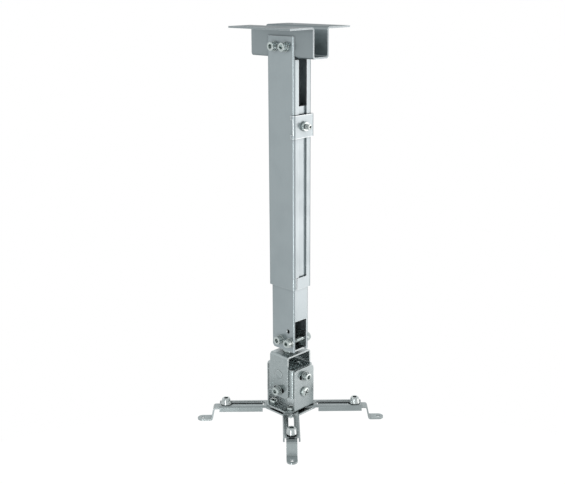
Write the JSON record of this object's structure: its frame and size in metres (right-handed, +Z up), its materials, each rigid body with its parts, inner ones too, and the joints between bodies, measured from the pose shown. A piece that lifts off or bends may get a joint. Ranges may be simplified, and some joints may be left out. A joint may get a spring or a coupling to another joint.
{
  "type": "projector ceiling mount",
  "caption": "Ceiling bracket with a telescopic square column, a head that swivels, tilts and rolls, and slotted arms whose sliding feet bolt to a projector.",
  "frame": {"origin": "centre of the ceiling plate's upper face, in the plane of the ceiling", "axes": "+Z up into the ceiling, along the column; +X towards the open side of the outer column; the arms lie on the diagonals of X and Y"},
  "size_m": [0.1696, 0.1696, 0.4839],
  "materials": {
    "silver_coat": "satin silver-grey coat on folded steel",
    "zinc_sheet": "grey zinc plate, slightly mottled",
    "bright_zinc": "bright zinc plate",
    "bright_nickel": "bright nickel plate"
  },
  "bodies": {
    "ceiling": {"ceiling_bracket": "silver_coat", "outer_column": "silver_coat", "column_top_bolts": "bright_zinc", "column_top_washers": "bright_zinc", "column_top_nuts": "bright_zinc"},
    "column": {"inner_column": "silver_coat", "clamp_plate": "silver_coat", "clamp_screw": "bright_zinc", "clamp_lock_nut": "bright_zinc", "clamp_weld_nut": "bright_zinc", "swivel_bracket": "zinc_sheet", "column_foot_bolts": "bright_zinc", "column_foot_washers": "bright_zinc", "column_foot_nuts": "bright_zinc"},
    "head": {"swivel_bolt": "bright_zinc", "swivel_spacer": "bright_zinc", "swivel_lock_nut": "bright_zinc", "upper_bracket": "zinc_sheet", "tilt_rivets": "bright_zinc"},
    "block": {"cross_block": "zinc_sheet", "tilt_lock_bolts": "bright_zinc", "tilt_lock_washers": "bright_zinc", "tilt_lock_nuts": "bright_zinc", "roll_lock_bolts": "bright_zinc", "roll_lock_washers": "bright_zinc", "roll_lock_nuts": "bright_zinc", "roll_pivot_screws": "bright_zinc", "roll_pivot_nuts": "bright_zinc"},
    "hub": {"lower_bracket": "zinc_sheet", "hub_lower_plate": "zinc_sheet", "arm_pivot_screws": "bright_zinc", "arm_pivot_nuts": "bright_zinc"},
    "arm_left": {"arm_left": "zinc_sheet"},
    "foot_left": {"foot_left": "zinc_sheet", "foot_stud_left": "bright_zinc", "thumb_nut_left": "bright_nickel"},
    "arm_front": {"arm_front": "zinc_sheet"},
    "foot_front": {"foot_front": "zinc_sheet", "foot_stud_front": "bright_zinc", "thumb_nut_front": "bright_nickel"},
    "arm_right": {"arm_right": "zinc_sheet"},
    "foot_right": {"foot_right": "zinc_sheet", "foot_stud_right": "bright_zinc", "thumb_nut_right": "bright_nickel"},
    "arm_rear": {"arm_rear": "zinc_sheet"},
    "foot_rear": {"foot_rear": "zinc_sheet", "foot_stud_rear": "bright_zinc", "thumb_nut_rear": "bright_nickel"}
  },
  "joints": [
    {"name": "height_slide", "type": "slide", "parent": "ceiling", "child": "column", "axis": [0, 0, 1], "range_m": [-0.166, 0.048]},
    {"name": "swivel", "type": "hinge", "parent": "column", "child": "head", "pos_m": [0, 0, -0.3892], "axis": [0, 0, 1], "continuous": true},
    {"name": "tilt", "type": "hinge", "parent": "head", "child": "block", "pos_m": [0, 0, -0.4175], "axis": [0, 1, 0], "range_deg": [-15, 15]},
    {"name": "roll", "type": "hinge", "parent": "block", "child": "hub", "pos_m": [0, 0, -0.4395], "axis": [1, 0, 0], "range_deg": [-15, 15]},
    {"name": "arm_left_swing", "type": "hinge", "parent": "hub", "child": "arm_left", "pos_m": [-0.015, -0.015, -0.4641], "axis": [0, 0, 1], "range_deg": [-40, 40]},
    {"name": "foot_left_slide", "type": "slide", "parent": "arm_left", "child": "foot_left", "axis": [-0.7071, -0.7071, 0], "range_m": [-0.036, 0.0008]},
    {"name": "arm_front_swing", "type": "hinge", "parent": "hub", "child": "arm_front", "pos_m": [0.015, -0.015, -0.4641], "axis": [0, 0, 1], "range_deg": [-40, 40]},
    {"name": "foot_front_slide", "type": "slide", "parent": "arm_front", "child": "foot_front", "axis": [0.7071, -0.7071, 0], "range_m": [-0.036, 0.0008]},
    {"name": "arm_right_swing", "type": "hinge", "parent": "hub", "child": "arm_right", "pos_m": [0.015, 0.015, -0.4641], "axis": [0, 0, 1], "range_deg": [-40, 40]},
    {"name": "foot_right_slide", "type": "slide", "parent": "arm_right", "child": "foot_right", "axis": [0.7071, 0.7071, 0], "range_m": [-0.036, 0.0008]},
    {"name": "arm_rear_swing", "type": "hinge", "parent": "hub", "child": "arm_rear", "pos_m": [-0.015, 0.015, -0.4641], "axis": [0, 0, 1], "range_deg": [-40, 40]},
    {"name": "foot_rear_slide", "type": "slide", "parent": "arm_rear", "child": "foot_rear", "axis": [-0.7071, 0.7071, 0], "range_m": [-0.036, 0.0008]}
  ]
}
